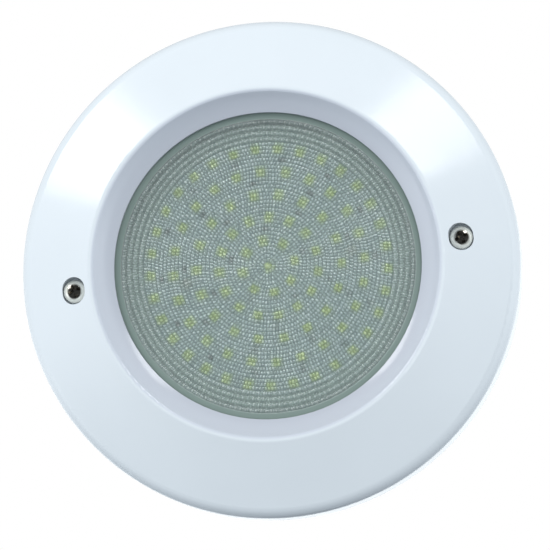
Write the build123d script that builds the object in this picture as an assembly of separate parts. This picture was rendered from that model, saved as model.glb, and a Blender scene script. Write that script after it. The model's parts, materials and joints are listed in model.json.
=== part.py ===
from build123d import *
import math
import os

# Flat, nicheless underwater pool light, in millimetres.
#
# Each piece is drawn with its axis along +Z, away from the wall, and with +Y up.
# saved() then turns it so that the light faces -Y and +Z is up. The origin is the
# centre of the bracket's back face, which lies on the pool wall. Heights are
# distances from the wall.

# A height in front of every piece, for cuts that run right through
ABOVE_H = 45.0

# Face ring
RING_R = 135.0
WALL_GAP = 1.0
CONE_FOOT_H = 23.6
CREST_R = 94.5
CREST_H = 40.0
OPENING_R = 83.0
OPENING_H = 31.0
RING_WALL = 3.0
SKIRT_ROUND = 8.0
CREST_ROUND = 3.0
EDGE_ROUND = 1.0
BEVEL_SAG = 0.8
BEVEL_LIP = 1.5
RIB_COUNT = 12
RIB_START = 15.0
RIB_T = 1.8
RIB_FOOT_H = 14.0

# Lens and its seals
LENS_R = 86.0
LENS_FIELD_R = 79.8
LENS_BACK_H = 24.0
LENS_EDGE_H = 28.4
LENS_FIELD_H = 29.0
SEAL_H = 0.8
GASKET_H = 1.2
GASKET_IN_R = 79.6
SEAL_IN_R = 83.4
SEAL_OUT_R = 85.8
FIELD_STEP_W = 0.6

# Lamp housing
HOUSING_R = 80.0
HOUSING_BACK_H = 5.0
HOUSING_WALL = 2.5
FLANGE_R = 93.0
FLANGE_H = 19.0
FLANGE_TOP_H = LENS_BACK_H - GASKET_H
LEDGE_R = 72.5
LEDGE_T = 2.5
LEDGE_SLOPE_L = 4.5
POCKET_GAP = 0.2
COLLAR_GAP = 0.5
HOUSING_WEB_COUNT = 16
HOUSING_WEB_T = 1.8
HOUSING_WEB_FOOT_H = 8.5
HOUSING_WEB_INSET = 4.0
RING_SCREW_CIRCLE_R = 89.7
RING_SCREW_COUNT = 8
RING_SCREW_START = 22.5
RING_SCREW_R = 1.5
RING_SCREW_TIP_H = 33.0
RING_SCREW_HEAD_R = 3.0
RING_SCREW_HEAD_T = 2.0

# LED board, with its heat spreader and surround
BOARD_R = 68.5
BOARD_TOP_H = 22.0
BOARD_T = 1.6
SPREADER_R = 76.0
SPREADER_T = 2.4
SURROUND_GAP = 0.3
SURROUND_OUT_R = 76.8
LINK_WIRE_R = 0.7
LED_SIZE = 5.0
LED_T = 1.4
WINDOW_R = 2.0
WINDOW_DEPTH = 0.2
NOTCH_W = 0.9
NOTCH_DEPTH = 0.4
LED_PITCH = 12.48
FIRST_RING_R = 14.2
LED_COUNTS = (8, 15, 18, 24, 33)
LED_STARTS = (5.5, -13.4, -5.0, -2.3, -8.8)
RESISTOR_COUNTS = (5, 5, 9, 14)
RESISTOR_STARTS = (17.0, 54.0, 13.6, 50.0)
BOARD_SCREW_CIRCLE_R = 45.3
BOARD_SCREW_ANGLE = 3.6
SMALL_SCREW_R = 1.5
SMALL_HEAD_R = 2.8
SMALL_HEAD_T = 1.6
SMALL_SCREW_HOLE_R = 1.7
POST_HEX = 5.5

# Driver
DRIVER_R = 60.0
DRIVER_H = 9.5
DRIVER_T = 1.6
DRIVER_POST_CIRCLE_R = 52.0
DRIVER_POST_R = 3.0
DRIVER_SCREW_R = 1.25
CAN_R = 4.0
CAN_H = 6.0
INDUCTOR_SIZE = 12.0
INDUCTOR_H = 4.2
TERMINAL_L = 12.0
TERMINAL_W = 9.0
TERMINAL_H = 6.4
TERMINAL_POLE_X = 2.5
CLAMP_SCREW_R = 1.6
LINK_AT = ((-4.0, 33.0), (4.0, 33.0))

# Face screws (M6), their washers and inserts
SCREW_CIRCLE_R = 105.0
SCREW_R = 3.0
SCREW_LENGTH = 20.0
HEAD_R = 6.0
HEAD_T = 4.4
WASHER_R = 5.9
WASHER_T = 1.2
RECESS_FLOOR_H = 28.0
RECESS_RADIAL = 13.0
RECESS_ACROSS = 14.8
SHANK_HOLE_RADIAL = 6.8
SHANK_HOLE_ACROSS = 8.6
CROSS_DEPTH = 2.8
CROSS_TURN = 20.0
INSERT_R = 4.2
INSERT_L = 12.0
GROOVE_W = 1.2
GROOVE_DEPTH = 0.5
RUNNING_GAP = 0.06

# Wall bracket
BRACKET_R = 122.0
BRACKET_T = 3.5
BRACKET_WINDOW_R = 55.0
BRACKET_RIM_H = 9.0
BOSS_R = 8.0
BOSS_TOP_H = 21.7
BOSS_GAP = 0.3
BRACKET_RIM_T = 3.0
GUSSET_T = 2.4
GUSSET_L = 12.0
WALL_SCREW_SPACING = 140.0
WALL_SLOT_W = 5.5
WALL_SLOT_L = 11.0
CABLE_HOLE_R = 10.0
CABLE_HOLE_Y = 104.5

# Cable gland (M16), pointing down from the housing
GLAND_ANGLE = 270.0
GLAND_H = 13.5
GLAND_SEAT_R = 94.0
GLAND_THREAD_R = 8.0
GLAND_THREAD_L = 7.5
GLAND_BOSS_R = 9.5
GLAND_HEX = 19.0
GLAND_SEAL_T = 1.5
GLAND_BODY_HEX_END = 6.5
GLAND_STEM_R = 7.6
GLAND_STEM_END = 15.0
GROMMET_R = 6.4
GROMMET_START = 8.0
GROMMET_END = 16.0
NUT_START = 7.0
NUT_END = 19.0
CABLE_R = 4.0


def outline(points, rounds=None):
    """A closed face in the plane of radius and height, with the corners in rounds rounded."""
    radii = [(rounds or {}).get(i, 0) for i in range(len(points))]
    line = FilletPolyline(*points, radius=radii, close=True)
    return Plane.XZ * make_face(line)


def turned(points, rounds=None):
    """The solid that the outline sweeps about the light's axis."""
    return revolve(outline(points, rounds), Axis.Z)


def disc(radius, low, high):
    """A solid cylinder on the light's axis between two heights."""
    return Pos(0, 0, low) * Cylinder(radius, high - low, align=(Align.CENTER, Align.CENTER, Align.MIN))


def tube(outer, inner, low, high):
    """A ring of rectangular section on the light's axis."""
    return disc(outer, low, high) - disc(inner, low, high)


def block(length, width, low, high):
    """A box centred on the axis between two heights."""
    return Pos(0, 0, low) * Box(length, width, high - low, align=(Align.CENTER, Align.CENTER, Align.MIN))


def hexagon(across_flats, low, high):
    """A six-sided prism between two heights, with flats facing +Y and -Y."""
    face = RegularPolygon(across_flats / 2, 6, major_radius=False)
    return Pos(0, 0, low) * extrude(face, high - low)


def polar(radius, angle):
    """The place at this radius and angle, in degrees."""
    turn = math.radians(angle)
    return Pos(radius * math.cos(turn), radius * math.sin(turn), 0)


def spaced(count, start=0.0):
    """Angles of count evenly spaced places."""
    return [start + 360.0 * i / count for i in range(count)]


def cone_height(radius):
    """Height of the face ring's conical front at a radius."""
    slope = (CREST_H - CONE_FOOT_H) / (RING_R - CREST_R)
    return CREST_H - slope * (radius - CREST_R)


def pan_head(radius, low, high, edge=0.5):
    """A flat screw head whose top edge is chamfered."""
    head = disc(radius, low, high)
    return chamfer(head.faces().sort_by(Axis.Z)[-1].edges(), edge)


def cross_slots(length, width, low, high):
    """Two crossed slots, for a screw's driver."""
    return block(length, width, low, high) + block(width, length, low, high)


def gusset(points, thickness=GUSSET_T):
    """A flat web, drawn in the plane of radius and height."""
    return extrude(outline(points), thickness / 2, both=True)


def saved(name, solids):
    """Writes one node, turned to face -Y, with +Z up."""
    solids = solids if isinstance(solids, list) else [solids]
    pieces = [Rot(90, 0, 0) * solid for shape in solids for solid in shape.solids()]
    whole = Compound(children=pieces) if len(pieces) > 1 else pieces[0]
    export_step(whole, f"parts/{name}.step")


# Face ring and the screws that hold it to the housing


def face_ring():
    """Conical shell with a rounded skirt, a concave bevel, and a collar that presses on the lens."""
    slope = (CREST_H - CONE_FOOT_H) / (RING_R - CREST_R)
    drop = RING_WALL * math.hypot(1, slope)
    skirt_in_r = RING_R - RING_WALL
    collar_r = FLANGE_R + COLLAR_GAP
    collar_h = LENS_EDGE_H + SEAL_H
    points = [
        (RING_R, WALL_GAP),
        (RING_R, CONE_FOOT_H),
        (CREST_R, CREST_H),
        (OPENING_R, OPENING_H),
        (OPENING_R, collar_h),
        (collar_r, collar_h),
        (collar_r, cone_height(collar_r) - drop),
        (skirt_in_r, cone_height(skirt_in_r) - drop),
        (skirt_in_r, WALL_GAP),
    ]
    inner_round = SKIRT_ROUND - RING_WALL
    rounds = {0: EDGE_ROUND, 1: SKIRT_ROUND, 2: CREST_ROUND, 6: EDGE_ROUND, 7: inner_round}
    ring = turned(points, rounds)
    ring -= bevel_scoop()
    for side in (0, 180):
        ring = ring + screw_boss(side, collar_r) - screw_recess(side)
    for angle in spaced(RIB_COUNT, RIB_START):
        ring += ring_rib(angle, collar_r, drop)
    for angle in spaced(RING_SCREW_COUNT, RING_SCREW_START):
        ring -= polar(RING_SCREW_CIRCLE_R, angle) * disc(RING_SCREW_R, collar_h, RING_SCREW_TIP_H)
    return ring


def bevel_scoop():
    """The shallow hollow that makes the bevel concave."""
    steepness = (CREST_H - OPENING_H) / (CREST_R - OPENING_R)
    inner = (OPENING_R, OPENING_H)
    outer = (CREST_R - BEVEL_LIP, CREST_H - BEVEL_LIP * steepness)
    run, rise = outer[0] - inner[0], outer[1] - inner[1]
    chord = math.hypot(run, rise)
    middle = (
        (inner[0] + outer[0]) / 2 + BEVEL_SAG * rise / chord,
        (inner[1] + outer[1]) / 2 - BEVEL_SAG * run / chord,
    )
    edge = ThreePointArc(inner, middle, outer) + Line(outer, inner)
    return revolve(Plane.XZ * make_face(edge), Axis.Z)


def recess_face(grow=0.0):
    """The screw recess seen from the front: a slot, longer across the radius."""
    return SlotOverall(RECESS_ACROSS + 2 * grow, RECESS_RADIAL + 2 * grow, rotation=90)


def screw_boss(side, collar_r):
    """Walls round a screw recess, up to the conical front, cut clear of the housing."""
    bottom = BOSS_TOP_H + BOSS_GAP
    boss = extrude(recess_face(RING_WALL), CREST_H - bottom)
    boss = Pos(SCREW_CIRCLE_R, 0, bottom) * boss
    inside = turned(
        [
            (collar_r - 6, bottom - 1),
            (RING_R - 1, bottom - 1),
            (RING_R - 1, cone_height(RING_R - 1) - 1),
            (collar_r - 6, cone_height(collar_r - 6) - 1),
        ]
    )
    return Rot(0, 0, side) * ((boss & inside) - disc(collar_r, bottom - 1, LENS_EDGE_H + SEAL_H))


def screw_recess(side):
    """The recess for the screw head, and the oval hole for the shank below it."""
    head_space = Pos(SCREW_CIRCLE_R, 0, RECESS_FLOOR_H) * extrude(recess_face(), 20)
    shank_face = SlotOverall(SHANK_HOLE_ACROSS, SHANK_HOLE_RADIAL, rotation=90)
    shank_space = Pos(SCREW_CIRCLE_R, 0, 0) * extrude(shank_face, ABOVE_H)
    return Rot(0, 0, side) * (head_space + shank_space)


def ring_rib(angle, collar_r, drop):
    """A radial stiffening web under the conical front."""
    inner_r = collar_r - 1
    outer_r = RING_R - RING_WALL + 1
    collar_foot_h = LENS_EDGE_H + SEAL_H + 1
    points = [
        (inner_r, cone_height(inner_r) - drop + 0.5),
        (outer_r, cone_height(outer_r) - drop + 0.5),
        (outer_r, RIB_FOOT_H),
        (outer_r - 2, RIB_FOOT_H),
        (collar_r + 5, collar_foot_h),
        (inner_r, collar_foot_h),
    ]
    return Rot(0, 0, angle) * gusset(points, RIB_T)


def ring_screws():
    """Eight small pan-head screws through the housing flange, from behind."""
    screws = []
    for angle in spaced(RING_SCREW_COUNT, RING_SCREW_START):
        shank = disc(RING_SCREW_R, FLANGE_H, RING_SCREW_TIP_H - 0.4)
        low = FLANGE_H - RING_SCREW_HEAD_T
        head = disc(RING_SCREW_HEAD_R, low, FLANGE_H)
        head = chamfer(head.faces().sort_by(Axis.Z)[0].edges(), 0.5)
        head -= cross_slots(3.6, 0.8, low, low + 1.0)
        screws.append(polar(RING_SCREW_CIRCLE_R, angle) * (shank + head))
    return screws


# Lens and seals


def lens():
    """Clear disc with a thicker field inside a lower, smooth border."""
    points = [
        (0, LENS_BACK_H),
        (LENS_R, LENS_BACK_H),
        (LENS_R, LENS_EDGE_H),
        (LENS_FIELD_R + FIELD_STEP_W, LENS_EDGE_H),
        (LENS_FIELD_R, LENS_FIELD_H),
        (0, LENS_FIELD_H),
    ]
    return turned(points)


def lens_gasket():
    """Flat silicone ring between the housing and the back of the lens."""
    return tube(SEAL_OUT_R, GASKET_IN_R, FLANGE_TOP_H, LENS_BACK_H)


def lens_front_seal():
    """Thin ring between the lens and the face ring's collar."""
    return tube(SEAL_OUT_R, SEAL_IN_R, LENS_EDGE_H, LENS_EDGE_H + SEAL_H)


# Lamp housing


def lamp_housing():
    """Round cup with a flange, a pocket that centres the lens, and a boss for the gland."""
    inner_r = HOUSING_R - HOUSING_WALL
    pocket_r = LENS_R + POCKET_GAP
    ledge_h = BOARD_TOP_H - BOARD_T - SPREADER_T
    points = [
        (0, HOUSING_BACK_H),
        (HOUSING_R, HOUSING_BACK_H),
        (HOUSING_R, FLANGE_H),
        (FLANGE_R, FLANGE_H),
        (FLANGE_R, LENS_EDGE_H + SEAL_H),
        (pocket_r, LENS_EDGE_H + SEAL_H),
        (pocket_r, FLANGE_TOP_H),
        (inner_r, FLANGE_TOP_H),
        (inner_r, ledge_h),
        (LEDGE_R, ledge_h),
        (LEDGE_R, ledge_h - LEDGE_T),
        (inner_r, ledge_h - LEDGE_T - LEDGE_SLOPE_L),
        (inner_r, HOUSING_BACK_H + HOUSING_WALL),
        (0, HOUSING_BACK_H + HOUSING_WALL),
    ]
    webs = [Rot(0, 0, angle) * housing_web() for angle in housing_web_angles()]
    housing = turned(points, {1: 2 * EDGE_ROUND, 2: EDGE_ROUND}) + webs
    boss = gland_line(GLAND_BOSS_R, HOUSING_R - HOUSING_WALL / 2, GLAND_SEAT_R)
    housing += boss - disc(pocket_r, FLANGE_TOP_H, ABOVE_H)
    housing -= gland_line(GLAND_THREAD_R, GLAND_SEAT_R - GLAND_THREAD_L - 0.5, GLAND_SEAT_R)
    housing -= gland_line(CABLE_R + 0.5, LEDGE_R - 2, GLAND_SEAT_R)
    for angle in spaced(RING_SCREW_COUNT, RING_SCREW_START):
        hole = disc(RING_SCREW_R + 0.2, FLANGE_H, ABOVE_H)
        housing -= polar(RING_SCREW_CIRCLE_R, angle) * hole
    return housing


def housing_web_angles():
    """Angles of the webs under the flange. The gland takes the place of two of them."""
    angles = spaced(HOUSING_WEB_COUNT, 180.0 / HOUSING_WEB_COUNT)
    return [angle for angle in angles if abs(angle - GLAND_ANGLE) > 20]


def housing_web():
    """A three-cornered web between the housing's wall and its flange."""
    wall_r = HOUSING_R - HOUSING_WALL / 2
    web_r = FLANGE_R - HOUSING_WEB_INSET
    points = [
        (wall_r, HOUSING_WEB_FOOT_H),
        (HOUSING_R + 0.8, HOUSING_WEB_FOOT_H),
        (web_r, FLANGE_H - 1.0),
        (web_r, FLANGE_H + 1.0),
        (wall_r, FLANGE_H + 1.0),
    ]
    return gusset(points, HOUSING_WEB_T)


def gland_line(radius, start, end):
    """A round bar on the gland's axis, which points down (-Y) from the housing."""
    bar = Cylinder(radius, end - start, align=(Align.CENTER, Align.CENTER, Align.MIN))
    return Pos(0, -start, GLAND_H) * (Rot(90, 0, 0) * bar)


def on_gland(shape):
    """Places a shape drawn along +Z from the gland's seat on the gland's axis."""
    return Pos(0, -GLAND_SEAT_R, GLAND_H) * (Rot(90, 0, 0) * shape)


# LED board


def led_places(ring):
    """Places of one ring's LEDs. Ring 0 is the single centre LED."""
    if ring == 0:
        return [Rot(0, 0, 30)]
    radius = FIRST_RING_R + (ring - 1) * LED_PITCH
    angles = spaced(LED_COUNTS[ring - 1], LED_STARTS[ring - 1])
    return [polar(radius, angle) * Rot(0, 0, angle) for angle in angles]


def led_packages(ring):
    """White square packages, each with a round well for the phosphor."""
    top = BOARD_TOP_H + LED_T
    package = block(LED_SIZE, LED_SIZE, BOARD_TOP_H, top)
    package -= disc(WINDOW_R, top - WINDOW_DEPTH, top)
    corner = Pos(LED_SIZE / 2, LED_SIZE / 2, 0) * Rot(0, 0, 45)
    package -= corner * block(NOTCH_W, 3, top - NOTCH_DEPTH, top)
    return [place * package for place in led_places(ring)]


def led_windows(ring):
    """Yellow phosphor windows, a hair below the tops of the packages."""
    top = BOARD_TOP_H + LED_T
    window = disc(WINDOW_R, top - WINDOW_DEPTH, top - 0.05)
    return [place * window for place in led_places(ring)]


def resistors():
    """Small chip resistors, midway between two rings of LEDs."""
    chips = []
    for gap, (count, start) in enumerate(zip(RESISTOR_COUNTS, RESISTOR_STARTS)):
        radius = FIRST_RING_R + (gap + 0.5) * LED_PITCH
        for angle in spaced(count, start):
            chip = block(3.2, 1.6, BOARD_TOP_H, BOARD_TOP_H + 0.6)
            chips.append(polar(radius, angle) * Rot(0, 0, angle + 90) * chip)
    return chips


def board_screw_places():
    """Places of the two screws through the LED board."""
    return [polar(BOARD_SCREW_CIRCLE_R, BOARD_SCREW_ANGLE + turn) for turn in (0, 180)]


def link_places():
    """Places of the two wires that join the boards."""
    return [Pos(x, y, 0) for x, y in LINK_AT]


def led_board():
    """White aluminium-core board with holes for its screws and the link wires."""
    board = disc(BOARD_R, BOARD_TOP_H - BOARD_T, BOARD_TOP_H)
    for place in board_screw_places():
        board -= place * disc(SMALL_SCREW_HOLE_R, 0, ABOVE_H)
    for place in link_places():
        board -= place * disc(LINK_WIRE_R + 0.3, 0, ABOVE_H)
    return board


def heat_spreader():
    """Aluminium plate that rests on the housing's ledge and carries the LED board."""
    top = BOARD_TOP_H - BOARD_T
    plate = disc(SPREADER_R, top - SPREADER_T, top)
    plate = chamfer(plate.edges().filter_by(GeomType.CIRCLE), 0.4)
    for place in board_screw_places():
        plate -= place * disc(SMALL_SCREW_HOLE_R, 0, ABOVE_H)
    for place in link_places():
        plate -= place * disc(LINK_WIRE_R + 1.5, 0, ABOVE_H)
    return plate


def board_surround():
    """White ring that fills the space between the LED board and the housing."""
    low = BOARD_TOP_H - BOARD_T
    points = [
        (BOARD_R + SURROUND_GAP, low),
        (SURROUND_OUT_R, low),
        (SURROUND_OUT_R, FLANGE_TOP_H),
        (SPREADER_R - 1, FLANGE_TOP_H),
        (BOARD_R + SURROUND_GAP, BOARD_TOP_H + SURROUND_GAP),
    ]
    return turned(points, {3: 0.5})


def board_posts():
    """Hexagonal posts from the housing floor to the heat spreader."""
    floor = HOUSING_BACK_H + HOUSING_WALL
    top = BOARD_TOP_H - BOARD_T - SPREADER_T
    post = hexagon(POST_HEX, floor, top) - disc(SMALL_SCREW_R, floor + 2, top)
    return [place * post for place in board_screw_places()]


def board_screws():
    """Pan-head screws that hold the LED board and heat spreader to the posts."""
    shank = disc(SMALL_SCREW_R, HOUSING_BACK_H + HOUSING_WALL + 3, BOARD_TOP_H)
    top = BOARD_TOP_H + SMALL_HEAD_T
    head = pan_head(SMALL_HEAD_R, BOARD_TOP_H, top) - cross_slots(3.2, 0.7, top - 0.8, top)
    return [place * (shank + head) for place in board_screw_places()]


# Driver


def on_driver(x, y, shape, turn=0.0):
    """Places a shape drawn on the driver board's top face."""
    return Pos(x, y, DRIVER_H + DRIVER_T) * Rot(0, 0, turn) * shape


def driver_post_places():
    """Places of the driver board's three posts."""
    return [polar(DRIVER_POST_CIRCLE_R, angle) for angle in spaced(3, 90)]


def driver_board():
    """Round circuit board with screw holes, cut away where the board posts pass."""
    board = disc(DRIVER_R, DRIVER_H, DRIVER_H + DRIVER_T)
    for place in driver_post_places():
        board -= place * disc(SMALL_SCREW_HOLE_R, 0, ABOVE_H)
    for place in board_screw_places():
        board -= place * disc(POST_HEX / 2 + 1.25, 0, ABOVE_H)
    for place in link_places():
        board -= place * disc(LINK_WIRE_R + 0.05, 0, ABOVE_H)
    return board


def driver_posts():
    """Short round posts under the driver board."""
    floor = HOUSING_BACK_H + HOUSING_WALL
    post = tube(DRIVER_POST_R, DRIVER_SCREW_R, floor, DRIVER_H)
    return [place * post for place in driver_post_places()]


def driver_screws():
    """Pan-head screws that hold the driver board to its posts."""
    top = DRIVER_H + DRIVER_T
    shank = disc(DRIVER_SCREW_R, HOUSING_BACK_H + HOUSING_WALL + 0.2, top)
    screw = shank + pan_head(DRIVER_POST_R - 0.4, top, top + 1.5)
    return [place * screw for place in driver_post_places()]


def bridge_rectifier():
    """Moulded four-lead rectifier."""
    body = chamfer(block(8.6, 6.6, 0.3, 3.3).edges().filter_by(Axis.Z), 0.5)
    legs = [Pos(x, y, 0) * block(0.7, 1.6, 0, 1.6) for x in (-2.5, 2.5) for y in (-4.0, 4.0)]
    return on_driver(-18, -40, Part() + [body, *legs], 20)


def filter_capacitors():
    """Two low can capacitors on square bases."""
    base = chamfer(block(8.4, 8.4, 0, 1.2).edges().filter_by(Axis.Z), 1.2)
    can = disc(CAN_R, 1.2, CAN_H)
    can = fillet(can.faces().sort_by(Axis.Z)[-1].edges(), 0.5)
    return [on_driver(x, y, base + can) for x, y in ((-34, -24), (-24, -18))]


def inductors():
    """Two shielded square inductors with a round ferrite core."""
    base = block(INDUCTOR_SIZE, INDUCTOR_SIZE, 0, INDUCTOR_H)
    base = chamfer(base.edges().filter_by(Axis.Z), 2.0)
    base -= tube(5.0, 4.2, INDUCTOR_H - 0.8, INDUCTOR_H)
    return [on_driver(x, y, base) for x, y in ((14, 8), (-14, 8))]


def driver_chips():
    """Two eight-lead control chips."""
    body = block(5.0, 4.0, 0.2, 1.7)
    body = chamfer(body.faces().sort_by(Axis.Z)[-1].edges(), 0.3)
    legs = [
        Pos(x, y, 0) * block(0.42, 1.2, 0, 0.9)
        for x in (-1.9, -0.63, 0.63, 1.9)
        for y in (-2.4, 2.4)
    ]
    return [on_driver(x, -12, Part() + [body, *legs]) for x in (-14, 14)]


def fuse():
    """Chip fuse with end caps at the supply input."""
    return on_driver(18, -40, block(6.1, 2.6, 0, 2.6), -20)


def input_terminal():
    """Two-way terminal block that takes the supply cable's cores."""
    housing = block(TERMINAL_L, TERMINAL_W, 0, TERMINAL_H)
    housing -= Pos(0, -3.0, 0) * block(9.6, 3.2, TERMINAL_H - 1.0, TERMINAL_H)
    for x in (-TERMINAL_POLE_X, TERMINAL_POLE_X):
        housing -= Pos(x, -TERMINAL_W / 2, 3.0) * (Rot(90, 0, 0) * Cylinder(1.5, 4))
        housing -= Pos(x, 1.2, 0) * disc(CLAMP_SCREW_R, 3.4, TERMINAL_H)
    return on_driver(0, -49, housing)


def terminal_screws():
    """Slotted clamp screws in the terminal block."""
    screw = disc(CLAMP_SCREW_R, 3.4, 5.6) - block(4, 0.5, 5.0, 5.6)
    return [on_driver(x, -47.8, screw) for x in (-TERMINAL_POLE_X, TERMINAL_POLE_X)]


def link_wires():
    """Two stiff wires that carry the supply up to the LED board, with solder ends."""
    wire = disc(LINK_WIRE_R, DRIVER_H - 0.8, BOARD_TOP_H + 0.3)
    return [place * wire for place in link_places()]


# Face screws, washers and inserts


def face_screw(side):
    """M6 pan-head screw with a cross recess. The thread is a plain cylinder."""
    seat = RECESS_FLOOR_H + WASHER_T
    top = seat + HEAD_T
    shoulder = seat + 0.55 * HEAD_T
    tip = seat - SCREW_LENGTH
    rim = (HEAD_R, shoulder)
    crown = (0, top)
    middle = (HEAD_R * 0.68, shoulder + (top - shoulder) * 0.76)
    edge = (
        Polyline((0, seat), (HEAD_R - 0.4, seat), (HEAD_R, seat + 0.6), rim)
        + ThreePointArc(rim, middle, crown)
        + Line(crown, (0, seat))
    )
    screw = revolve(Plane.XZ * make_face(edge), Axis.Z)
    screw += disc(SCREW_R, tip, seat)
    screw = chamfer(screw.faces().sort_by(Axis.Z)[0].edges(), 0.6)
    screw -= cross_recess(top)
    return Rot(0, 0, side) * Pos(SCREW_CIRCLE_R, 0, 0) * screw


def cross_recess(top):
    """A cross with tapering arms and a conical middle."""
    arm = loft(
        [
            Pos(0, 0, top + 0.2) * Rectangle(8.0, 1.7),
            Pos(0, 0, top - CROSS_DEPTH) * Rectangle(3.4, 1.1),
        ]
    )
    middle = Pos(0, 0, top - CROSS_DEPTH / 2) * Cone(0.9, 2.1, CROSS_DEPTH)
    cross = Rot(0, 0, CROSS_TURN) * (arm + Rot(0, 0, 90) * arm)
    return cross + middle


def washer(side):
    """Nylon washer under a face screw's head."""
    ring = tube(WASHER_R, SCREW_R + RUNNING_GAP, RECESS_FLOOR_H, RECESS_FLOOR_H + WASHER_T)
    return Rot(0, 0, side) * Pos(SCREW_CIRCLE_R, 0, 0) * ring


def threaded_inserts():
    """Brass inserts in the bracket's bosses. The thread is a plain bore."""
    low = BOSS_TOP_H - INSERT_L
    insert = tube(INSERT_R, SCREW_R + RUNNING_GAP, low, BOSS_TOP_H)
    for height in (low + 3.5, low + 7.5):
        insert -= tube(INSERT_R, INSERT_R - GROOVE_DEPTH, height, height + GROOVE_W)
    return [Rot(0, 0, side) * Pos(SCREW_CIRCLE_R, 0, 0) * insert for side in (0, 180)]


# Wall bracket


def wall_bracket():
    """Ring-shaped wall plate with a stiffening rim, two bosses, slots and a cable hole."""
    plate = tube(BRACKET_R, BRACKET_WINDOW_R, 0, BRACKET_T)
    plate += tube(BRACKET_R, BRACKET_R - BRACKET_RIM_T, 0, BRACKET_RIM_H)
    for side in (0, 180):
        plate += Rot(0, 0, side) * bracket_boss()
    for side in (0, 180):
        bore = disc(INSERT_R, BOSS_TOP_H - INSERT_L, BOSS_TOP_H) + disc(3.4, 1.5, BOSS_TOP_H)
        plate -= Rot(0, 0, side) * Pos(SCREW_CIRCLE_R, 0, 0) * bore
    half = WALL_SCREW_SPACING / 2
    for x in (-half, half):
        for y in (-half, half):
            slot = extrude(SlotOverall(WALL_SLOT_L, WALL_SLOT_W), BRACKET_T)
            plate -= Pos(x, y, 0) * slot
    plate -= Pos(0, CABLE_HOLE_Y, 0) * disc(CABLE_HOLE_R, 0, BRACKET_T)
    edges = plate.faces().sort_by(Axis.Z)[-1].edges()
    return fillet(edges.filter_by(GeomType.CIRCLE).group_by(SortBy.RADIUS)[-1], 0.6)


def bracket_boss():
    """Boss for one insert, with gussets to the rim and along it."""
    boss = Pos(SCREW_CIRCLE_R, 0, 0) * disc(BOSS_R, 0, BOSS_TOP_H)
    start = BOSS_R - 1
    foot_h = BRACKET_T - 1
    rim_r = BRACKET_R - 1
    outward = [
        (SCREW_CIRCLE_R + start, foot_h),
        (rim_r, foot_h),
        (rim_r, BRACKET_RIM_H),
        (SCREW_CIRCLE_R + start, BOSS_TOP_H - 4),
    ]
    boss += gusset(outward)
    sideways = gusset(
        [
            (start, foot_h),
            (BOSS_R + GUSSET_L, foot_h),
            (BOSS_R + GUSSET_L, BRACKET_T),
            (start, BOSS_TOP_H - 5),
        ]
    )
    for turn in (-90, 90):
        boss += Pos(SCREW_CIRCLE_R, 0, 0) * Rot(0, 0, turn) * sideways
    return boss


# Cable gland


def gland_body():
    """Threaded body with a hexagon, screwed into the housing's boss."""
    body = disc(GLAND_THREAD_R, -GLAND_THREAD_L, GLAND_SEAL_T)
    body += hexagon(GLAND_HEX, GLAND_SEAL_T, GLAND_BODY_HEX_END)
    body += disc(GLAND_STEM_R, GLAND_BODY_HEX_END, GLAND_STEM_END)
    body -= disc(CABLE_R + 0.4, -GLAND_THREAD_L, GLAND_STEM_END)
    body -= disc(GROMMET_R, GROMMET_START, GLAND_STEM_END)
    return on_gland(body)


def gland_face_seal():
    """Flat ring between the gland body and the housing's boss."""
    return on_gland(tube(GLAND_BOSS_R - 0.1, GLAND_THREAD_R, 0, GLAND_SEAL_T))


def gland_grommet():
    """Rubber sleeve that grips the cable."""
    return on_gland(tube(GROMMET_R, CABLE_R, GROMMET_START, GROMMET_END))


def gland_nut():
    """Dome nut that squeezes the grommet on the cable."""
    dome_t = NUT_END - GLAND_STEM_END
    dome = Cone(GLAND_HEX / 2 - 0.1, 6.6, dome_t, align=(Align.CENTER, Align.CENTER, Align.MIN))
    nut = hexagon(GLAND_HEX, NUT_START, GLAND_STEM_END) + Pos(0, 0, GLAND_STEM_END) * dome
    nut -= disc(GLAND_STEM_R, NUT_START, GROMMET_END)
    nut -= disc(CABLE_R + 0.9, NUT_START, NUT_END)
    return on_gland(nut)


os.makedirs("parts", exist_ok=True)

saved("wall_bracket", wall_bracket())
saved("threaded_inserts", threaded_inserts())
saved("face_ring", face_ring())
saved("ring_screws", ring_screws())
saved("lens", lens())
saved("lens_gasket", lens_gasket())
saved("lens_front_seal", lens_front_seal())
saved("lamp_housing", lamp_housing())
saved("board_surround", board_surround())
saved("led_board", led_board())
for ring_number in range(len(LED_COUNTS) + 1):
    saved(f"led_packages_ring_{ring_number}", led_packages(ring_number))
    saved(f"led_windows_ring_{ring_number}", led_windows(ring_number))
saved("board_resistors", resistors())
saved("board_screws", board_screws())
saved("board_posts", board_posts())
saved("heat_spreader", heat_spreader())
saved("driver_board", driver_board())
saved("driver_posts", driver_posts())
saved("driver_screws", driver_screws())
saved("bridge_rectifier", bridge_rectifier())
saved("filter_capacitors", filter_capacitors())
saved("inductors", inductors())
saved("driver_chips", driver_chips())
saved("input_fuse", fuse())
saved("input_terminal", input_terminal())
saved("terminal_screws", terminal_screws())
saved("link_wires", link_wires())
saved("gland_body", gland_body())
saved("gland_face_seal", gland_face_seal())
saved("gland_grommet", gland_grommet())
saved("gland_nut", gland_nut())
for name, side in (("right", 0), ("left", 180)):
    saved(f"face_screw_{name}", face_screw(side))
    saved(f"washer_{name}", washer(side))
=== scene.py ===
import json
import math

import bpy
from mathutils import Matrix, Vector


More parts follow.
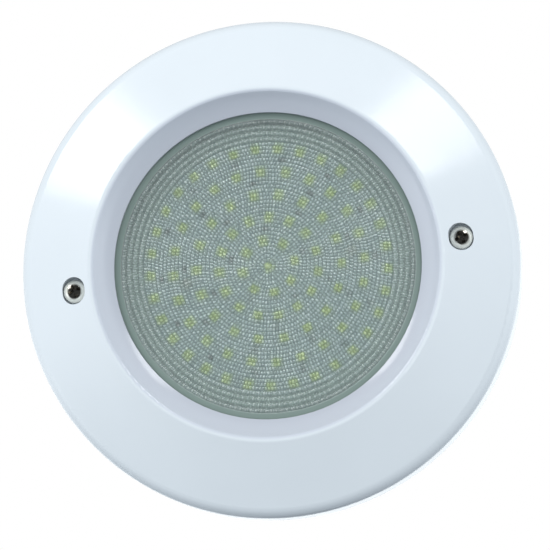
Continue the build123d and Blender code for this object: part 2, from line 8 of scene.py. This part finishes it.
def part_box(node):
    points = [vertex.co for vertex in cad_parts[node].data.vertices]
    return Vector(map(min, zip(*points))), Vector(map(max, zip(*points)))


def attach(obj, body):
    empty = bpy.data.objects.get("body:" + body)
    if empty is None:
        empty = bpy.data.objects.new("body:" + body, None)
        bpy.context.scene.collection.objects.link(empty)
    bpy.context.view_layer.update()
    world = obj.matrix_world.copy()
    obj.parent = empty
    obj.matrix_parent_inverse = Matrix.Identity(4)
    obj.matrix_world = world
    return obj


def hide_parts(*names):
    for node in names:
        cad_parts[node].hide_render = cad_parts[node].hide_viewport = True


# Looks of the underwater pool light, in metres. The light faces -Y and +Z is up.

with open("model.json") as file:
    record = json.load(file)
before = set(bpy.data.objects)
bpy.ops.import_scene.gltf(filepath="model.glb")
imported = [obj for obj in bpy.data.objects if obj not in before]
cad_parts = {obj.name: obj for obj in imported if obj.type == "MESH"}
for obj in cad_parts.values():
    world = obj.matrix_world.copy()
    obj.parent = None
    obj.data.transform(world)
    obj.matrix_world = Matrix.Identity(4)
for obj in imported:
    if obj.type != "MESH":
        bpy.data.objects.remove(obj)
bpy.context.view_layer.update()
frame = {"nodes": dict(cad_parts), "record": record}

# Lens, within the space of the CAD's lens, with its thickness at the border and between the bumps
LENS_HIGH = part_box("lens")[1]
LENS_R = LENS_HIGH.x
LENS_BACK_Y = LENS_HIGH.y
BORDER_THICKNESS = 0.00438
FIELD_THICKNESS = 0.00412
BORDER_Y = LENS_BACK_Y - BORDER_THICKNESS
FIELD_Y = LENS_BACK_Y - FIELD_THICKNESS
BORDER_IN_R = 0.0800
BORDER_SLOPE = 0.0014
EDGE_ROUND = 0.0005
RIM_POINTS = 360

# Face ring and face screws
LENS_OPENING_R = 0.0830
CREST_R = 0.0945
CREST_BLEND_IN = 0.0008
CREST_BLEND_OUT = 0.0004
SCREW_HEAD_R = 0.0060
SCREW_RECESS_R = 0.0035
SCREW_RIM_R = 0.0044

# Bumps on the lens: the outer rows are further apart than the inner ones
OUTER_ROWS = 4
OUTER_ROW_R = 0.0783
OUTER_ROW_PITCH = 0.00315
OUTER_BUMP_WIDTH = 0.0019
OUTER_BUMP_PITCH = 0.0014
OUTER_BUMP_STEPS = 4
INNER_ROW_PITCH = 0.0021
INNER_BUMP_PITCH = 0.0017
INNER_BUMP_STEPS = 3
LAST_ROW_R = 0.6 * INNER_ROW_PITCH
BUMP_RISE = 0.00075
DOME_REACH_SQUARED = 1.1
DOME_POWER = 0.8
ROW_FILL = 0.98
GOLDEN_TURN = 0.618

# Painted light on the bumps: tones from 0, painted shade in the dips, to 1, painted highlight on
# top. Every second bump is darker.
OUTER_ALTERNATION = 0.6
OUTER_FLAT_TONE = 0.18
INNER_ALTERNATION = 0.72
INNER_TONE = 0.60
INNER_TONE_SPREAD = 0.55

# Lens: color in the dips (painted shade), on the bumps (painted highlight), of the border (painted
# shade of the housing behind it) and of its shadow, transmission, and how much a fine noise
# changes the tone
LENS_DIP_SHADE = (0.26, 0.31, 0.31)
LENS_BUMP_HIGHLIGHT = (0.92, 0.98, 0.96)
LENS_BORDER_SHADE = (0.30, 0.38, 0.35)
LENS_SHADOW = (0.62, 0.68, 0.65)
FIELD_TRANSMISSION = 0.72
BORDER_TRANSMISSION = 0.25
SPECKLE = 0.2

# Range of the noise that is stretched over the whole variation of a material
NOISE_LOW = 0.3
NOISE_HIGH = 0.7

# Variation of the plastics, in waves per metre
CLOUDS = 18.0
SMUDGES = 60.0
WAVES = 28.0

# Camera: where it stands, seen from the middle of the light, and what it looks at
CAMERA_AZIMUTH = math.radians(5.94)
CAMERA_ELEVATION = math.radians(-8.56)
CAMERA_ROLL = math.radians(-7.11)
CAMERA_DISTANCE = 1.840
CAMERA_LENS = 223.7
CAMERA_CENTER = Vector((0.0, -0.020, 0.0))
CAMERA_TARGET = Vector((0.0024, -0.020, -0.0044))

# Stage
FLOOR_Z = -0.46
FLOOR_SIZE = 16.0
FLOOR_PALE = (0.74, 0.76, 0.77)
FLOOR_DARK = (0.71, 0.73, 0.74)

# Surroundings: position of each band from straight down to straight up, its level and its tint
SKY_BOTTOM = (0.03, 0.03, 0.035)
SKY_TOP = (0.34, 0.36, 0.38)
SKY_BANDS = (
    (0.25, 0.66, (0.91, 1.03, 1.13)),
    (0.42, 1.74, (0.93, 0.98, 1.02)),
    (0.65, 0.96, (0.93, 0.98, 1.00)),
)

# Dark card in front of the light, seen only in mirror reflections. It starts at one cosine of
# the angle from the front, is full at the next, and lets the level through.
CARD_EDGE = 0.48
CARD_FULL = 0.62
CARD_LEVEL = 0.05

# Lamps: name, angle from the front and angle around it in degrees, width, height and power
LAMP_COLOR = (0.98, 0.985, 0.98)
LAMP_DISTANCE = 1.6
SOFTBOXES = (
    ("Key_left", 54.0, 133.0, 0.62, 0.5, 6.0),
    ("Key_right", 45.0, 50.0, 0.55, 0.5, 5.0),
)


# Shader helpers


def new_material(name):
    """An empty node material with its output, and the tree it is built in."""
    material = bpy.data.materials.new(name)
    material.use_nodes = True
    tree = material.node_tree
    tree.nodes.clear()
    output = tree.nodes.new("ShaderNodeOutputMaterial")
    return material, tree, output


def principled(tree, color, roughness, metallic=0.0, ior=1.5, **extra):
    """A Principled shader with constant values on its sockets."""
    shader = tree.nodes.new("ShaderNodeBsdfPrincipled")
    shader.inputs["Base Color"].default_value = (*color, 1.0)
    shader.inputs["Roughness"].default_value = roughness
    shader.inputs["Metallic"].default_value = metallic
    shader.inputs["IOR"].default_value = ior
    for socket, value in extra.items():
        shader.inputs[socket.replace("_", " ")].default_value = value
    return shader


def coordinates(tree, scale=(1.0, 1.0, 1.0)):
    """Object coordinates in metres, scaled along each axis."""
    source = tree.nodes.new("ShaderNodeTexCoord")
    mapping = tree.nodes.new("ShaderNodeMapping")
    mapping.inputs["Scale"].default_value = scale
    tree.links.new(source.outputs["Object"], mapping.inputs["Vector"])
    return mapping.outputs["Vector"]


def length(tree, vector):
    """Length of a vector."""
    node = tree.nodes.new("ShaderNodeVectorMath")
    node.operation = "LENGTH"
    tree.links.new(vector, node.inputs[0])
    return node.outputs["Value"]


def attribute(tree, name):
    """A number stored on the points of the mesh."""
    node = tree.nodes.new("ShaderNodeAttribute")
    node.attribute_name = name
    return node.outputs["Fac"]


def noise(tree, vector, scale, detail=3.0, roughness=0.55):
    """Noise between 0 and 1, scale in waves per metre."""
    node = tree.nodes.new("ShaderNodeTexNoise")
    node.inputs["Scale"].default_value = scale
    node.inputs["Detail"].default_value = detail
    node.inputs["Roughness"].default_value = roughness
    tree.links.new(vector, node.inputs["Vector"])
    return node.outputs["Fac"]


def remap(tree, value, low, high, to_low, to_high):
    """value's range low to high becomes to_low to to_high, clamped."""
    node = tree.nodes.new("ShaderNodeMapRange")
    node.inputs["From Min"].default_value = low
    node.inputs["From Max"].default_value = high
    node.inputs["To Min"].default_value = to_low
    node.inputs["To Max"].default_value = to_high
    tree.links.new(value, node.inputs["Value"])
    return node.outputs["Result"]


def color_node(tree, factor):
    """A node that mixes two colors by a factor."""
    node = tree.nodes.new("ShaderNodeMix")
    node.data_type = "RGBA"
    tree.links.new(factor, node.inputs["Factor"])
    return node


def mixed_color(tree, factor, first, second):
    """A color between two constants."""
    node = color_node(tree, factor)
    node.inputs["A"].default_value = (*first, 1.0)
    node.inputs["B"].default_value = (*second, 1.0)
    return node.outputs["Result"]


def bump(tree, height, distance, normal=None):
    """A bump whose full height is distance, in metres."""
    node = tree.nodes.new("ShaderNodeBump")
    node.inputs["Strength"].default_value = 1.0
    node.inputs["Distance"].default_value = distance
    tree.links.new(height, node.inputs["Height"])
    if normal is not None:
        tree.links.new(normal, node.inputs["Normal"])
    return node.outputs["Normal"]


def set_color(tree, shader, value, low, high, first, second):
    """Base color that goes from first to second as value goes from low to high."""
    factor = remap(tree, value, low, high, 0.0, 1.0)
    tree.links.new(mixed_color(tree, factor, first, second), shader.inputs["Base Color"])


def set_roughness(tree, shader, grain, roughness, spread):
    """Roughness that follows a noise, by spread either way."""
    varied = remap(tree, grain, NOISE_LOW, NOISE_HIGH, roughness - spread, roughness + spread)
    tree.links.new(varied, shader.inputs["Roughness"])


def finish_shader(tree, shader, normal, output):
    """Gives the shader its normal and connects it."""
    if normal is not None:
        tree.links.new(normal, shader.inputs["Normal"])
    tree.links.new(shader.outputs["BSDF"], output.inputs["Surface"])


# Materials


def moulded_plastic(name, color, dark, roughness, spread, grain, grain_height):
    """Injection-moulded plastic: faint cloudiness, slow waviness and a fine grain."""
    material, tree, output = new_material(name)
    shader = principled(tree, color, roughness)
    at = coordinates(tree)
    set_color(tree, shader, noise(tree, at, CLOUDS, 4.0), NOISE_LOW, NOISE_HIGH, color, dark)
    set_roughness(tree, shader, noise(tree, at, SMUDGES, 5.0, 0.65), roughness, spread)
    waves = bump(tree, noise(tree, at, WAVES, 1.0), 0.00004)
    fine = bump(tree, noise(tree, at, grain, 2.0), grain_height, waves)
    finish_shader(tree, shader, fine, output)
    return material


def ring_plastic(name, color, painted_bevel_shade, painted_crest_shade, roughness, spread):
    """Glossy white moulding whose bevel, inside the crest, is darker and grows paler outwards, as
    painted shade.
    """
    material, tree, output = new_material(name)
    shader = principled(tree, color, roughness)
    at = coordinates(tree)
    radius = length(tree, coordinates(tree, (1.0, 0.0, 1.0)))
    # Painted shade: the bevel inside the crest gets a darker color that grows paler towards the
    # crest
    crest = remap(tree, radius, CREST_R - CREST_BLEND_IN, CREST_R + CREST_BLEND_OUT, 0.0, 1.0)
    base = color_node(tree, crest)
    outwards = remap(tree, radius, LENS_OPENING_R, CREST_R, 0.0, 1.0)
    tree.links.new(mixed_color(tree, outwards, painted_bevel_shade, painted_crest_shade), base.inputs["A"])
    cloud = remap(tree, noise(tree, at, CLOUDS, 4.0), NOISE_LOW, NOISE_HIGH, 0.0, 1.0)
    darker = tuple(0.975 * c for c in color)
    tree.links.new(mixed_color(tree, cloud, color, darker), base.inputs["B"])
    tree.links.new(base.outputs["Result"], shader.inputs["Base Color"])
    set_roughness(tree, shader, noise(tree, at, SMUDGES, 5.0, 0.65), roughness, spread)
    waves = bump(tree, noise(tree, at, WAVES, 1.0), 0.00003)
    fine = bump(tree, noise(tree, at, 2600.0, 2.0), 0.000004, waves)
    finish_shader(tree, shader, fine, output)
    return material


def metal(name, color, dark, roughness, spread, scale, streaks, height):
    """Bare metal: streaks across the axis with the larger scale, or else an even grain."""
    material, tree, output = new_material(name)
    shader = principled(tree, color, roughness, metallic=1.0)
    grain = noise(tree, coordinates(tree, scale), streaks, 4.0, 0.6)
    stain = noise(tree, coordinates(tree), 400.0, 3.0)
    set_color(tree, shader, stain, 0.35, 0.7, color, dark)
    set_roughness(tree, shader, grain, roughness, spread)
    finish_shader(tree, shader, bump(tree, grain, height), output)
    return material


def screw_steel(name, rim, recess, roughness):
    """Steel pan head: bright rolled rim and a dark, dull cross recess in the middle. The rim's
    pale color and lower metallic are a painted highlight; the recess's dark color is painted
    shade.
    """
    material, tree, output = new_material(name)
    shader = principled(tree, rim, roughness, metallic=1.0)
    source = tree.nodes.new("ShaderNodeTexCoord")
    centred = tree.nodes.new("ShaderNodeMapping")
    centred.inputs["Scale"].default_value = (2 * SCREW_HEAD_R, 0.0, 2 * SCREW_HEAD_R)
    centred.inputs["Location"].default_value = (-SCREW_HEAD_R, 0.0, -SCREW_HEAD_R)
    tree.links.new(source.outputs["Generated"], centred.inputs["Vector"])
    radius = length(tree, centred.outputs["Vector"])
    # Painted highlight on the rim and painted shade in the recess
    outside = remap(tree, radius, SCREW_RECESS_R, SCREW_RIM_R, 0.0, 1.0)
    tree.links.new(mixed_color(tree, outside, recess, rim), shader.inputs["Base Color"])
    tree.links.new(remap(tree, outside, 0.0, 1.0, 1.0, 0.45), shader.inputs["Metallic"])
    grain = noise(tree, coordinates(tree), 2500.0, 4.0, 0.6)
    set_roughness(tree, shader, grain, roughness, 0.05)
    finish_shader(tree, shader, bump(tree, grain, 0.000006), output)
    return material


def circuit_board(name, color, track_color, height):
    """Solder mask over faint tracks."""
    material, tree, output = new_material(name)
    shader = principled(tree, color, 0.32)
    at = coordinates(tree)
    cells = tree.nodes.new("ShaderNodeTexVoronoi")
    cells.feature = "DISTANCE_TO_EDGE"
    cells.inputs["Scale"].default_value = 170.0
    tree.links.new(at, cells.inputs["Vector"])
    track = remap(tree, cells.outputs["Distance"], 0.03, 0.06, 1.0, 0.0)
    tree.links.new(mixed_color(tree, track, color, track_color), shader.inputs["Base Color"])
    speckle = noise(tree, at, 2500.0, 2.0)
    set_roughness(tree, shader, speckle, 0.33, 0.09)
    edge = bump(tree, track, height)
    finish_shader(tree, shader, bump(tree, speckle, 0.00001, edge), output)
    return material


def rubber_like(name, color, roughness, height):
    """Soft rubber with a fine dusty grain."""
    material, tree, output = new_material(name)
    shader = principled(tree, color, roughness, ior=1.45)
    dust = noise(tree, coordinates(tree), 900.0, 4.0, 0.7)
    pale = tuple(min(1.0, c * 1.5 + 0.02) for c in color)
    factor = remap(tree, dust, 0.45, 0.75, 0.0, 0.5)
    tree.links.new(mixed_color(tree, factor, color, pale), shader.inputs["Base Color"])
    finish_shader(tree, shader, bump(tree, dust, height), output)
    return material


def milky_lens(name):
    """Greenish plastic, partly milky, with painted highlights on the bumps, painted shade between
    them and a border tinted dark as painted shade of the housing behind it. Shadow rays pass
    through it.
    """
    material, tree, output = new_material(name)
    shader = principled(tree, LENS_BUMP_HIGHLIGHT, 0.05, ior=1.49, Transmission_Weight=FIELD_TRANSMISSION)
    at = coordinates(tree)
    set_roughness(tree, shader, noise(tree, at, 240.0, 3.0), 0.065, 0.035)
    grain = noise(tree, at, 1000.0, 1.0)
    # Painted highlights on the bumps and painted shade in the dips, with a fine speckle
    tone = tree.nodes.new("ShaderNodeMath")
    tree.links.new(attribute(tree, "painted_light"), tone.inputs[0])
    tree.links.new(remap(tree, grain, NOISE_LOW, NOISE_HIGH, -SPECKLE, SPECKLE), tone.inputs[1])
    pale = remap(tree, tone.outputs["Value"], 0.0, 1.0, 0.0, 1.0)
    # The border gets a dark color and less transmission, as painted shade of the housing seen
    # through it
    border = attribute(tree, "border")
    base = color_node(tree, border)
    tree.links.new(mixed_color(tree, pale, LENS_DIP_SHADE, LENS_BUMP_HIGHLIGHT), base.inputs["A"])
    base.inputs["B"].default_value = (*LENS_BORDER_SHADE, 1.0)
    tree.links.new(base.outputs["Result"], shader.inputs["Base Color"])
    clearness = remap(tree, border, 0.0, 1.0, FIELD_TRANSMISSION, BORDER_TRANSMISSION)
    tree.links.new(clearness, shader.inputs["Transmission Weight"])
    clear = tree.nodes.new("ShaderNodeBsdfTransparent")
    clear.inputs["Color"].default_value = (*LENS_SHADOW, 1.0)
    path = tree.nodes.new("ShaderNodeLightPath")
    mix = tree.nodes.new("ShaderNodeMixShader")
    tree.links.new(path.outputs["Is Shadow Ray"], mix.inputs["Fac"])
    tree.links.new(shader.outputs["BSDF"], mix.inputs[1])
    tree.links.new(clear.outputs["BSDF"], mix.inputs[2])
    tree.links.new(mix.outputs["Shader"], output.inputs["Surface"])
    return material


EVEN = (1.0, 1.0, 1.0)
BRUSHED = (1.0, 1.0, 14.0)
MATERIALS = {
    # White ring, with painted shade on its bevel
    "white_plastic": ring_plastic(
        "White_ABS", (0.73, 0.775, 0.815), (0.49, 0.515, 0.575), (0.62, 0.655, 0.725), 0.15, 0.03
    ),
    "bracket_plastic": moulded_plastic(
        "Bracket_plastic", (0.66, 0.69, 0.71), (0.60, 0.63, 0.65), 0.45, 0.08, 1800.0, 0.00004
    ),
    "housing_plastic": moulded_plastic(
        "Housing_plastic", (0.62, 0.65, 0.66), (0.56, 0.59, 0.60), 0.38, 0.08, 1500.0, 0.00003
    ),
    "surround_plastic": moulded_plastic(
        "Surround_plastic", (0.50, 0.56, 0.54), (0.46, 0.52, 0.50), 0.4, 0.06, 1500.0, 0.00002
    ),
    "lens": milky_lens("Lens_milky"),
    "silicone": rubber_like("Silicone_grey", (0.36, 0.42, 0.39), 0.45, 0.00002),
    "rubber": rubber_like("Rubber_black", (0.025, 0.025, 0.027), 0.55, 0.00003),
    "brass": metal(
        "Brass", (0.78, 0.57, 0.25), (0.55, 0.38, 0.16), 0.28, 0.08, EVEN, 3000.0, 0.00001
    ),
    "stainless": metal(
        "Stainless", (0.74, 0.71, 0.66), (0.60, 0.57, 0.53), 0.11, 0.05, EVEN, 2500.0, 0.000006
    ),
    "aluminium": metal(
        "Aluminium", (0.78, 0.79, 0.80), (0.66, 0.67, 0.69), 0.3, 0.08, BRUSHED, 900.0, 0.00001
    ),
    "tinned_wire": metal(
        "Tinned_wire", (0.72, 0.72, 0.72), (0.55, 0.55, 0.56), 0.3, 0.08, EVEN, 2500.0, 0.00001
    ),
    "white_board": circuit_board(
        "White_solder_mask", (0.72, 0.77, 0.84), (0.60, 0.64, 0.70), 0.00003
    ),
    "green_board": circuit_board(
        "Green_solder_mask", (0.02, 0.20, 0.07), (0.03, 0.28, 0.10), 0.00003
    ),
    "led_package": moulded_plastic(
        "Led_package", (0.92, 1.0, 0.40), (0.88, 0.96, 0.36), 0.35, 0.05, 3000.0, 0.00001
    ),
    "phosphor": moulded_plastic(
        "Led_phosphor", (0.90, 0.96, 0.06), (0.86, 0.92, 0.05), 0.3, 0.05, 4000.0, 0.00001
    ),
    "component_black": moulded_plastic(
        "Moulded_epoxy", (0.018, 0.018, 0.02), (0.03, 0.03, 0.032), 0.5, 0.08, 5000.0, 0.00002
    ),
    "ferrite": moulded_plastic(
        "Ferrite", (0.06, 0.06, 0.065), (0.09, 0.09, 0.095), 0.6, 0.08, 3500.0, 0.00003
    ),
    "ceramic_white": moulded_plastic(
        "Ceramic", (0.74, 0.74, 0.70), (0.68, 0.68, 0.64), 0.25, 0.05, 3000.0, 0.00001
    ),
    "terminal_green": moulded_plastic(
        "Terminal_green", (0.04, 0.26, 0.09), (0.03, 0.21, 0.07), 0.42, 0.06, 2500.0, 0.00002
    ),
    "gland_plastic": moulded_plastic(
        "Gland_nylon", (0.022, 0.022, 0.024), (0.032, 0.032, 0.034), 0.42, 0.08, 2200.0, 0.00003
    ),
    "nylon": moulded_plastic(
        "Washer_nylon", (0.62, 0.63, 0.60), (0.56, 0.57, 0.54), 0.4, 0.06, 2500.0, 0.00002
    ),
}
# Face screws: pale rim as a painted highlight, dark recess as painted shade
FACE_SCREW_STEEL = screw_steel("Face_screw_steel", (0.90, 0.90, 0.84), (0.42, 0.40, 0.36), 0.14)

for subpart in frame["record"]["subparts"]:
    node = frame["nodes"][subpart["node"]]
    face_screw = subpart["node"].startswith("face_screw")
    node.data.materials.clear()
    node.data.materials.append(
        FACE_SCREW_STEEL if face_screw else MATERIALS[subpart["material_slot"]]
    )
    for polygon in node.data.polygons:
        polygon.material_index = 0


# Lens


def bump_rows():
    """Radius, radial width, number of bumps and steps of each row, from the outside in."""
    rows = []
    radius = OUTER_ROW_R
    for _ in range(OUTER_ROWS):
        count = 2 * round(math.pi * radius / OUTER_BUMP_PITCH)
        rows.append((radius, OUTER_BUMP_WIDTH, count, OUTER_BUMP_STEPS))
        radius -= OUTER_ROW_PITCH
    radius += (OUTER_ROW_PITCH - INNER_ROW_PITCH) / 2
    while radius > LAST_ROW_R:
        count = 2 * max(3, round(math.pi * radius / INNER_BUMP_PITCH))
        rows.append((radius, INNER_ROW_PITCH, count, INNER_BUMP_STEPS))
        radius -= INNER_ROW_PITCH
    return rows


def scatter(row_number, bump_number):
    """A fixed value from 0 to 1 that looks random, for one bump."""
    return (math.sin(row_number * 12.9898 + bump_number * 78.233) * 43758.5453) % 1.0


def bump_height(across, along):
    """Height of a domed bump, 0 to 1, at two distances from its middle of -1 to 1."""
    return max(0.0, 1 - (across**2 + along**2) / DOME_REACH_SQUARED) ** DOME_POWER


def painted_bump_light(row_number, bump_number, height):
    """How pale a point of a bump is, 0 to 1, from its height: painted highlight on top and painted
    shade towards the dips.
    """
    darker = bump_number % 2 == 1
    if row_number < OUTER_ROWS:
        return max(height * (OUTER_ALTERNATION if darker else 1.0), OUTER_FLAT_TONE)
    tone = height * (INNER_ALTERNATION if darker else 1.0)
    return tone * (INNER_TONE + INNER_TONE_SPREAD * scatter(row_number, bump_number))


def circle(vertices, radius, y, count):
    """Adds a circle of points and returns their numbers."""
    first = len(vertices)
    for i in range(count):
        angle = 2 * math.pi * i / count
        vertices.append((radius * math.cos(angle), y, radius * math.sin(angle)))
    return list(range(first, first + count))


def zip_circles(faces, outer, inner):
    """Joins two circles of points, whose counts may differ, with triangles."""
    a, b = len(outer), len(inner)
    i = j = 0
    while i < a or j < b:
        if j >= b or (i < a and (i + 1) / a <= (j + 1) / b):
            faces.append((outer[i % a], outer[(i + 1) % a], inner[j % b]))
            i += 1
        else:
            faces.append((outer[i % a], inner[(j + 1) % b], inner[j % b]))
            j += 1


def join_circles(faces, outer, inner):
    """Joins two circles of the same count with quads."""
    count = len(outer)
    for i in range(count):
        k = (i + 1) % count
        faces.append((outer[i], outer[k], inner[k], inner[i]))


def add_bump_row(vertices, faces, painted_light, last, row_number, row):
    """Adds one row of bumps inside the circle last and returns its inner circle."""
    row_radius, width, bumps, steps = row
    count = bumps * steps
    turn = 2 * math.pi * ((row_number * GOLDEN_TURN) % 1.0)
    first = round(turn / (2 * math.pi) * count)
    for step in range(steps + 1):
        across = 1 - 2 * step / steps
        radius = row_radius + across * width * ROW_FILL / 2
        ring = []
        for k in range(count):
            i = k - first
            along = 2 * ((i / steps) % 1.0) - 1
            angle = turn + 2 * math.pi * i / count
            height = bump_height(across, along)
            # Painted highlight on the top of the bump and painted shade in its dips
            painted_light[len(vertices)] = painted_bump_light(row_number, i // steps % bumps, height)
            ring.append(len(vertices))
            y = FIELD_Y - BUMP_RISE * height
            vertices.append((radius * math.cos(angle), y, radius * math.sin(angle)))
        if step == 0:
            zip_circles(faces, last, ring)
        else:
            join_circles(faces, last, ring)
        last = ring
    return last


def lens_mesh():
    """Closed lens: flat back, smooth border and rows of small domed bumps."""
    vertices, faces, painted_light, border = [(0.0, LENS_BACK_Y, 0.0)], [], {}, set()
    last = circle(vertices, LENS_R - EDGE_ROUND, LENS_BACK_Y, RIM_POINTS)
    for i in range(RIM_POINTS):
        faces.append((0, last[(i + 1) % RIM_POINTS], last[i]))
    for radius, y in (
        (LENS_R, LENS_BACK_Y - EDGE_ROUND),
        (LENS_R, BORDER_Y + EDGE_ROUND),
        (LENS_R - EDGE_ROUND, BORDER_Y),
        (BORDER_IN_R + BORDER_SLOPE, BORDER_Y),
        (BORDER_IN_R, FIELD_Y),
    ):
        ring = circle(vertices, radius, y, RIM_POINTS)
        join_circles(faces, last, ring)
        border.update(ring)
        last = ring
    for row_number, row in enumerate(bump_rows()):
        last = add_bump_row(vertices, faces, painted_light, last, row_number, row)
    middle = len(vertices)
    vertices.append((0.0, FIELD_Y - BUMP_RISE, 0.0))
    for i in range(len(last)):
        faces.append((last[i], last[(i + 1) % len(last)], middle))
    mesh = bpy.data.meshes.new("lens_prisms")
    mesh.from_pydata(vertices, [], faces)
    mesh.validate()
    mesh.update()
    # Painted light of the bumps for the lens material, 1 where there are no bumps
    tones = mesh.attributes.new("painted_light", "FLOAT", "POINT")
    tones.data.foreach_set("value", [painted_light.get(i, 1.0) for i in range(len(vertices))])
    smooth = mesh.attributes.new("border", "FLOAT", "POINT")
    smooth.data.foreach_set("value", [float(i in border) for i in range(len(vertices))])
    return mesh


lens_piece = bpy.data.objects.new("lens_prisms", lens_mesh())
bpy.context.scene.collection.objects.link(lens_piece)
lens_piece.data.shade_smooth()
lens_piece.data.materials.append(MATERIALS["lens"])
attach(lens_piece, "lamp")
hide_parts("lens")


# Stage: camera, pale floor, surroundings and lamps


def build_camera():
    """Creates the camera and returns the direction from its target to it."""
    back = Vector(
        (
            math.sin(CAMERA_AZIMUTH) * math.cos(CAMERA_ELEVATION),
            -math.cos(CAMERA_AZIMUTH) * math.cos(CAMERA_ELEVATION),
            math.sin(CAMERA_ELEVATION),
        )
    )
    place = CAMERA_CENTER + back * CAMERA_DISTANCE
    back = (place - CAMERA_TARGET).normalized()
    right = Vector((0.0, 0.0, 1.0)).cross(back).normalized()
    up = back.cross(right)
    c, s = math.cos(CAMERA_ROLL), math.sin(CAMERA_ROLL)
    rotation = Matrix((right * c + up * s, up * c - right * s, back)).transposed()
    data = bpy.data.cameras.new("Camera")
    data.lens = CAMERA_LENS
    data.sensor_width = 36.0
    data.clip_start = 0.05
    data.clip_end = 50.0
    camera = bpy.data.objects.new("Camera", data)
    bpy.context.scene.collection.objects.link(camera)
    camera.matrix_world = Matrix.Translation(place) @ rotation.to_4x4()
    bpy.context.scene.camera = camera
    return back


def build_floor():
    """Plain floor that neither lights the object nor shows in its gloss."""
    bpy.ops.mesh.primitive_plane_add(size=FLOOR_SIZE, location=(0.0, 0.0, FLOOR_Z))
    floor = bpy.context.object
    floor.name = "Floor"
    material, tree, output = new_material("Pale_floor")
    shader = principled(tree, FLOOR_PALE, 0.7)
    cloud = noise(tree, coordinates(tree), 3.0)
    set_color(tree, shader, cloud, NOISE_LOW, NOISE_HIGH, FLOOR_PALE, FLOOR_DARK)
    finish_shader(tree, shader, None, output)
    floor.data.materials.append(material)
    floor.visible_diffuse = False
    floor.visible_glossy = False


def background(tree, color=None):
    """World shader of strength 1, with a color from a node or a constant white."""
    node = tree.nodes.new("ShaderNodeBackground")
    node.inputs["Strength"].default_value = 1.0
    if color is None:
        node.inputs["Color"].default_value = (1.0, 1.0, 1.0, 1.0)
    else:
        tree.links.new(color, node.inputs["Color"])
    return node.outputs["Background"]


def choice(tree, factor, first, second):
    """A shader between two shaders."""
    node = tree.nodes.new("ShaderNodeMixShader")
    tree.links.new(factor, node.inputs["Fac"])
    tree.links.new(first, node.inputs[1])
    tree.links.new(second, node.inputs[2])
    return node.outputs["Shader"]


def build_world(front):
    """White bands from below to above and a dark card in front. The camera sees plain white."""
    world = bpy.data.worlds.new("Studio")
    bpy.context.scene.world = world
    world.use_nodes = True
    tree = world.node_tree
    tree.nodes.clear()
    output = tree.nodes.new("ShaderNodeOutputWorld")
    source = tree.nodes.new("ShaderNodeTexCoord")
    split = tree.nodes.new("ShaderNodeSeparateXYZ")
    tree.links.new(source.outputs["Generated"], split.inputs["Vector"])
    sky = tree.nodes.new("ShaderNodeValToRGB")
    tree.links.new(remap(tree, split.outputs["Z"], -1.0, 1.0, 0.0, 1.0), sky.inputs["Fac"])
    stops = sky.color_ramp.elements
    stops[0].position = 0.0
    stops[0].color = (*SKY_BOTTOM, 1.0)
    stops[1].position = 1.0
    stops[1].color = (*SKY_TOP, 1.0)
    for position, level, tint in SKY_BANDS:
        stops.new(position).color = (*(level * c for c in tint), 1.0)

    # The card darkens the sky around the front, for mirror reflections only
    facing = tree.nodes.new("ShaderNodeVectorMath")
    facing.operation = "DOT_PRODUCT"
    facing.inputs[1].default_value = front
    tree.links.new(source.outputs["Generated"], facing.inputs[0])
    dimmed = tree.nodes.new("ShaderNodeVectorMath")
    dimmed.operation = "SCALE"
    tree.links.new(sky.outputs["Color"], dimmed.inputs[0])
    card = remap(tree, facing.outputs["Value"], CARD_EDGE, CARD_FULL, 1.0, CARD_LEVEL)
    tree.links.new(card, dimmed.inputs["Scale"])
    path = tree.nodes.new("ShaderNodeLightPath")
    mirrored = tree.nodes.new("ShaderNodeMath")
    mirrored.operation = "SUBTRACT"
    mirrored.use_clamp = True
    tree.links.new(path.outputs["Is Glossy Ray"], mirrored.inputs[0])
    tree.links.new(path.outputs["Is Transmission Ray"], mirrored.inputs[1])

    around = choice(
        tree,
        mirrored.outputs["Value"],
        background(tree, sky.outputs["Color"]),
        background(tree, dimmed.outputs["Vector"]),
    )
    seen = choice(tree, path.outputs["Is Camera Ray"], around, background(tree))
    tree.links.new(seen, output.inputs["Surface"])


def softbox(name, polar, around, width, height, power):
    """Rectangular lamp that faces the object.

    polar is its angle from the front (-Y) and around its turn about that axis, from +X towards
    +Z, both in degrees.
    """
    lamp = bpy.data.lights.new(name, "AREA")
    lamp.shape = "RECTANGLE"
    lamp.size = width
    lamp.size_y = height
    lamp.energy = power
    lamp.color = LAMP_COLOR
    place = bpy.data.objects.new(name, lamp)
    bpy.context.scene.collection.objects.link(place)
    p, a = math.radians(polar), math.radians(around)
    away = Vector((math.sin(p) * math.cos(a), -math.cos(p), math.sin(p) * math.sin(a)))
    place.location = away * LAMP_DISTANCE
    place.rotation_mode = "QUATERNION"
    place.rotation_quaternion = away.to_track_quat("Z", "Y")
    place.visible_transmission = False


front = build_camera()
build_floor()
build_world(front)
for settings in SOFTBOXES:
    softbox(*settings)

bpy.context.scene.view_settings.view_transform = "Standard"
